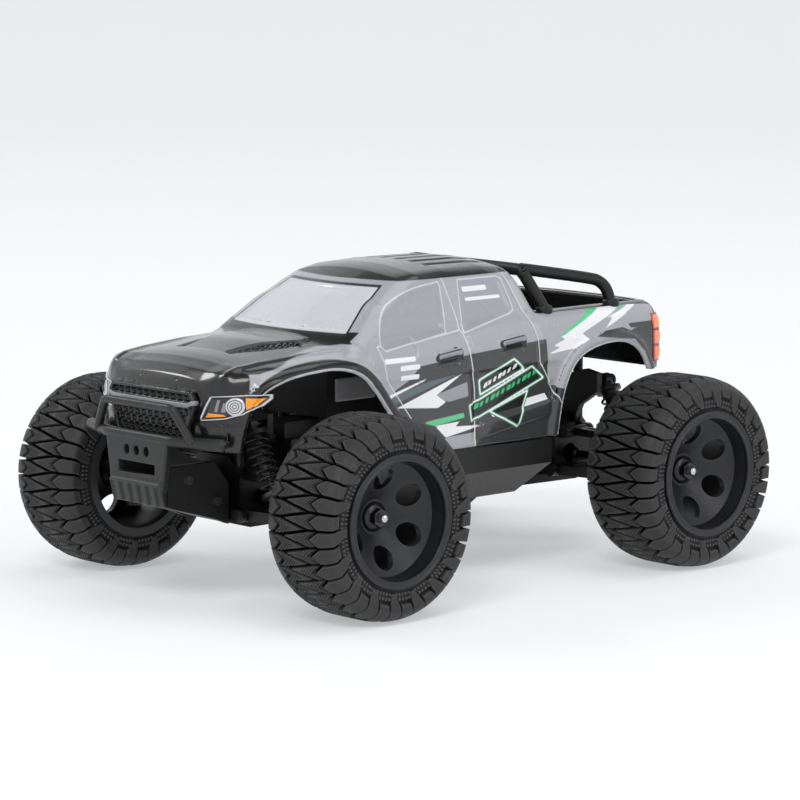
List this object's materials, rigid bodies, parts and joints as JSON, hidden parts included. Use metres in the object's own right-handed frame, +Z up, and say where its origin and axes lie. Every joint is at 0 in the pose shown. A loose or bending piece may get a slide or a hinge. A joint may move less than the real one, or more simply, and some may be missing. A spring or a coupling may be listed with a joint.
{
  "type": "radio controlled truck",
  "caption": "Radio controlled monster truck with lug tyres, dish wheels, coil-over suspension, steering, lift-off pickup shell, sports bar and ribbed bumper.",
  "frame": {"origin": "on the ground under the middle of the footprint", "axes": "+Z up, the truck faces -Y, its left side is +X"},
  "size_m": [0.15, 0.203, 0.0983],
  "materials": {
    "tyre": "moulded rubber, matt",
    "rim": "dark grey moulded nylon",
    "steel": "turned steel",
    "dark_screw": "black oxide steel",
    "spring": "black coated spring wire",
    "black_plastic": "black moulded nylon",
    "bumper_plastic": "dark grey satin nylon",
    "body_paint": "painted shell: gloss black, silver grey and charcoal",
    "lamp": "black lamp with amber wedges",
    "tail_lamp": "orange red lens",
    "grille_trim": "black mesh with silver bar",
    "gear_steel": "cut steel",
    "motor_can": "drawn steel can",
    "battery_wrap": "heat shrink",
    "case_plastic": "moulded case",
    "button": "red button"
  },
  "bodies": {
    "chassis": {"chassis_tub": "black_plastic", "front_bumper": "bumper_plastic", "front_gearbox": "black_plastic", "rear_gearbox": "black_plastic", "chassis_screws": "steel", "servo": "case_plastic", "motor": "motor_can", "battery": "battery_wrap", "control_unit": "case_plastic"},
    "body": {"body_shell": "body_paint", "grille": "grille_trim", "headlights": "lamp", "taillights": "tail_lamp", "roll_bar": "black_plastic"},
    "servo_horn": {"servo_horn": "black_plastic"},
    "steering_link": {"steering_link": "black_plastic"},
    "tie_rod_left": {"tie_rod_left": "steel"},
    "tie_rod_right": {"tie_rod_right": "steel"},
    "centre_shaft": {"drive_shaft": "steel", "spur_gear": "gear_steel"},
    "pinion": {"pinion_gear": "gear_steel"},
    "power_button": {"power_button": "button"},
    "lower_arm_front_left": {"lower_arm_front_left": "black_plastic"},
    "upper_arm_front_left": {"upper_arm_front_left": "black_plastic"},
    "shock_front_left": {"shock_cylinder_front_left": "black_plastic", "spring_front_left": "spring"},
    "shock_rod_front_left": {"shock_rod_front_left": "steel"},
    "wheel_front_left": {"tyre_front_left": "tyre", "rim_front_left": "rim", "axle_front_left": "dark_screw"},
    "c_hub_front_left": {"c_hub_front_left": "black_plastic"},
    "knuckle_front_left": {"knuckle_front_left": "black_plastic"},
    "lower_arm_front_right": {"lower_arm_front_right": "black_plastic"},
    "upper_arm_front_right": {"upper_arm_front_right": "black_plastic"},
    "shock_front_right": {"shock_cylinder_front_right": "black_plastic", "spring_front_right": "spring"},
    "shock_rod_front_right": {"shock_rod_front_right": "steel"},
    "wheel_front_right": {"tyre_front_right": "tyre", "rim_front_right": "rim", "axle_front_right": "dark_screw"},
    "c_hub_front_right": {"c_hub_front_right": "black_plastic"},
    "knuckle_front_right": {"knuckle_front_right": "black_plastic"},
    "lower_arm_rear_left": {"lower_arm_rear_left": "black_plastic"},
    "upper_arm_rear_left": {"upper_arm_rear_left": "black_plastic"},
    "shock_rear_left": {"shock_cylinder_rear_left": "black_plastic", "spring_rear_left": "spring"},
    "shock_rod_rear_left": {"shock_rod_rear_left": "steel"},
    "wheel_rear_left": {"tyre_rear_left": "tyre", "rim_rear_left": "rim", "axle_rear_left": "dark_screw"},
    "hub_carrier_rear_left": {"hub_carrier_rear_left": "black_plastic"},
    "lower_arm_rear_right": {"lower_arm_rear_right": "black_plastic"},
    "upper_arm_rear_right": {"upper_arm_rear_right": "black_plastic"},
    "shock_rear_right": {"shock_cylinder_rear_right": "black_plastic", "spring_rear_right": "spring"},
    "shock_rod_rear_right": {"shock_rod_rear_right": "steel"},
    "wheel_rear_right": {"tyre_rear_right": "tyre", "rim_rear_right": "rim", "axle_rear_right": "dark_screw"},
    "hub_carrier_rear_right": {"hub_carrier_rear_right": "black_plastic"}
  },
  "joints": [
    {"name": "body_lift", "type": "slide", "parent": "chassis", "child": "body", "axis": [0, 0, 1], "range_m": [0, 0.06]},
    {"name": "suspension_front_left", "type": "hinge", "parent": "chassis", "child": "lower_arm_front_left", "pos_m": [0.015, -0.061, 0.026], "axis": [0, -1, 0], "range_deg": [-7, 7], "stiffness_Nm_per_rad": 0.8, "springref_deg": -3.15},
    {"name": "upper_arm_front_left", "type": "hinge", "parent": "chassis", "child": "upper_arm_front_left", "pos_m": [0.015, -0.061, 0.038], "axis": [0, -1, 0], "range_deg": [-8, 8]},
    {"name": "shock_swing_front_left", "type": "hinge", "parent": "chassis", "child": "shock_front_left", "pos_m": [0.018, -0.071, 0.054], "axis": [0, -1, 0], "range_deg": [-3, 3]},
    {"name": "shock_stroke_front_left", "type": "slide", "parent": "shock_front_left", "child": "shock_rod_front_left", "axis": [-0.5039, 0, 0.8638], "range_m": [-0.0025, 0.0025], "deforming": ["spring_front_left"]},
    {"name": "hub_level_front_left", "type": "hinge", "parent": "lower_arm_front_left", "child": "c_hub_front_left", "pos_m": [0.044, -0.061, 0.026], "axis": [0, -1, 0], "range_deg": [-8, 8]},
    {"name": "steering_left", "type": "hinge", "parent": "c_hub_front_left", "child": "knuckle_front_left", "pos_m": [0.05, -0.061, 0.0305], "axis": [0, 0, 1], "range_deg": [-22, 22]},
    {"name": "wheel_spin_front_left", "type": "hinge", "parent": "knuckle_front_left", "child": "wheel_front_left", "pos_m": [0.061, -0.061, 0.0305], "axis": [1, 0, 0], "continuous": true},
    {"name": "suspension_front_right", "type": "hinge", "parent": "chassis", "child": "lower_arm_front_right", "pos_m": [-0.015, -0.061, 0.026], "axis": [0, 1, 0], "range_deg": [-7, 7], "stiffness_Nm_per_rad": 0.8, "springref_deg": -3.15},
    {"name": "upper_arm_front_right", "type": "hinge", "parent": "chassis", "child": "upper_arm_front_right", "pos_m": [-0.015, -0.061, 0.038], "axis": [0, 1, 0], "range_deg": [-8, 8]},
    {"name": "shock_swing_front_right", "type": "hinge", "parent": "chassis", "child": "shock_front_right", "pos_m": [-0.018, -0.071, 0.054], "axis": [0, 1, 0], "range_deg": [-3, 3]},
    {"name": "shock_stroke_front_right", "type": "slide", "parent": "shock_front_right", "child": "shock_rod_front_right", "axis": [0.5039, 0, 0.8638], "range_m": [-0.0025, 0.0025], "deforming": ["spring_front_right"]},
    {"name": "hub_level_front_right", "type": "hinge", "parent": "lower_arm_front_right", "child": "c_hub_front_right", "pos_m": [-0.044, -0.061, 0.026], "axis": [0, 1, 0], "range_deg": [-8, 8]},
    {"name": "steering_right", "type": "hinge", "parent": "c_hub_front_right", "child": "knuckle_front_right", "pos_m": [-0.05, -0.061, 0.0305], "axis": [0, 0, 1], "range_deg": [-22, 22]},
    {"name": "wheel_spin_front_right", "type": "hinge", "parent": "knuckle_front_right", "child": "wheel_front_right", "pos_m": [-0.061, -0.061, 0.0305], "axis": [-1, 0, 0], "continuous": true},
    {"name": "suspension_rear_left", "type": "hinge", "parent": "chassis", "child": "lower_arm_rear_left", "pos_m": [0.015, 0.071, 0.026], "axis": [0, -1, 0], "range_deg": [-7, 7], "stiffness_Nm_per_rad": 0.8, "springref_deg": -3.15},
    {"name": "upper_arm_rear_left", "type": "hinge", "parent": "chassis", "child": "upper_arm_rear_left", "pos_m": [0.015, 0.071, 0.038], "axis": [0, -1, 0], "range_deg": [-8, 8]},
    {"name": "shock_swing_rear_left", "type": "hinge", "parent": "chassis", "child": "shock_rear_left", "pos_m": [0.018, 0.081, 0.054], "axis": [0, -1, 0], "range_deg": [-3, 3]},
    {"name": "shock_stroke_rear_left", "type": "slide", "parent": "shock_rear_left", "child": "shock_rod_rear_left", "axis": [-0.5039, 0, 0.8638], "range_m": [-0.0025, 0.0025], "deforming": ["spring_rear_left"]},
    {"name": "hub_level_rear_left", "type": "hinge", "parent": "lower_arm_rear_left", "child": "hub_carrier_rear_left", "pos_m": [0.044, 0.071, 0.026], "axis": [0, -1, 0], "range_deg": [-8, 8]},
    {"name": "wheel_spin_rear_left", "type": "hinge", "parent": "hub_carrier_rear_left", "child": "wheel_rear_left", "pos_m": [0.061, 0.071, 0.0305], "axis": [1, 0, 0], "continuous": true},
    {"name": "suspension_rear_right", "type": "hinge", "parent": "chassis", "child": "lower_arm_rear_right", "pos_m": [-0.015, 0.071, 0.026], "axis": [0, 1, 0], "range_deg": [-7, 7], "stiffness_Nm_per_rad": 0.8, "springref_deg": -3.15},
    {"name": "upper_arm_rear_right", "type": "hinge", "parent": "chassis", "child": "upper_arm_rear_right", "pos_m": [-0.015, 0.071, 0.038], "axis": [0, 1, 0], "range_deg": [-8, 8]},
    {"name": "shock_swing_rear_right", "type": "hinge", "parent": "chassis", "child": "shock_rear_right", "pos_m": [-0.018, 0.081, 0.054], "axis": [0, 1, 0], "range_deg": [-3, 3]},
    {"name": "shock_stroke_rear_right", "type": "slide", "parent": "shock_rear_right", "child": "shock_rod_rear_right", "axis": [0.5039, 0, 0.8638], "range_m": [-0.0025, 0.0025], "deforming": ["spring_rear_right"]},
    {"name": "hub_level_rear_right", "type": "hinge", "parent": "lower_arm_rear_right", "child": "hub_carrier_rear_right", "pos_m": [-0.044, 0.071, 0.026], "axis": [0, 1, 0], "range_deg": [-8, 8]},
    {"name": "wheel_spin_rear_right", "type": "hinge", "parent": "hub_carrier_rear_right", "child": "wheel_rear_right", "pos_m": [-0.061, 0.071, 0.0305], "axis": [-1, 0, 0], "continuous": true},
    {"name": "steering_slide", "type": "slide", "parent": "chassis", "child": "steering_link", "axis": [1, 0, 0], "range_m": [-0.0036, 0.0036]},
    {"name": "servo_turn", "type": "hinge", "parent": "chassis", "child": "servo_horn", "pos_m": [0, -0.052, 0.046], "axis": [0, 1, 0], "range_deg": [-24, 24]},
    {"name": "tie_rod_left", "type": "hinge", "parent": "steering_link", "child": "tie_rod_left", "pos_m": [0.021, -0.052, 0.0375], "axis": [0, -1, 0], "range_deg": [-8, 8]},
    {"name": "tie_rod_right", "type": "hinge", "parent": "steering_link", "child": "tie_rod_right", "pos_m": [-0.021, -0.052, 0.0375], "axis": [0, 1, 0], "range_deg": [-8, 8]},
    {"name": "shaft_spin", "type": "hinge", "parent": "chassis", "child": "centre_shaft", "pos_m": [0, 0.046, 0.033], "axis": [0, 1, 0], "continuous": true},
    {"name": "pinion_spin", "type": "hinge", "parent": "chassis", "child": "pinion", "pos_m": [-0.0096, 0.046, 0.033], "axis": [0, 1, 0], "continuous": true},
    {"name": "power_press", "type": "slide", "parent": "chassis", "child": "power_button", "axis": [0, 0, -1], "range_m": [0, 0.0008], "stiffness_N_per_m": 200, "springref_m": -0.0002}
  ],
  "couplings": [
    {"joint": "upper_arm_front_left", "follows": "suspension_front_left", "ratio": 1},
    {"joint": "shock_swing_front_left", "follows": "suspension_front_left", "ratio": 0.1839},
    {"joint": "shock_stroke_front_left", "follows": "suspension_front_left", "m_per_rad": 0.0167},
    {"joint": "hub_level_front_left", "follows": "suspension_front_left", "ratio": -1},
    {"joint": "upper_arm_front_right", "follows": "suspension_front_right", "ratio": 1},
    {"joint": "shock_swing_front_right", "follows": "suspension_front_right", "ratio": 0.1839},
    {"joint": "shock_stroke_front_right", "follows": "suspension_front_right", "m_per_rad": 0.0167},
    {"joint": "hub_level_front_right", "follows": "suspension_front_right", "ratio": -1},
    {"joint": "upper_arm_rear_left", "follows": "suspension_rear_left", "ratio": 1},
    {"joint": "shock_swing_rear_left", "follows": "suspension_rear_left", "ratio": 0.1839},
    {"joint": "shock_stroke_rear_left", "follows": "suspension_rear_left", "m_per_rad": 0.0167},
    {"joint": "hub_level_rear_left", "follows": "suspension_rear_left", "ratio": -1},
    {"joint": "upper_arm_rear_right", "follows": "suspension_rear_right", "ratio": 1},
    {"joint": "shock_swing_rear_right", "follows": "suspension_rear_right", "ratio": 0.1839},
    {"joint": "shock_stroke_rear_right", "follows": "suspension_rear_right", "m_per_rad": 0.0167},
    {"joint": "hub_level_rear_right", "follows": "suspension_rear_right", "ratio": -1},
    {"joint": "steering_right", "follows": "steering_left", "ratio": 1},
    {"joint": "steering_slide", "follows": "steering_left", "m_per_rad": -0.009},
    {"joint": "servo_turn", "follows": "steering_left", "ratio": 1.0588},
    {"joint": "tie_rod_left", "follows": "suspension_front_left", "ratio": 1},
    {"joint": "tie_rod_right", "follows": "suspension_front_right", "ratio": 1},
    {"joint": "pinion_spin", "follows": "shaft_spin", "ratio": -3}
  ]
}
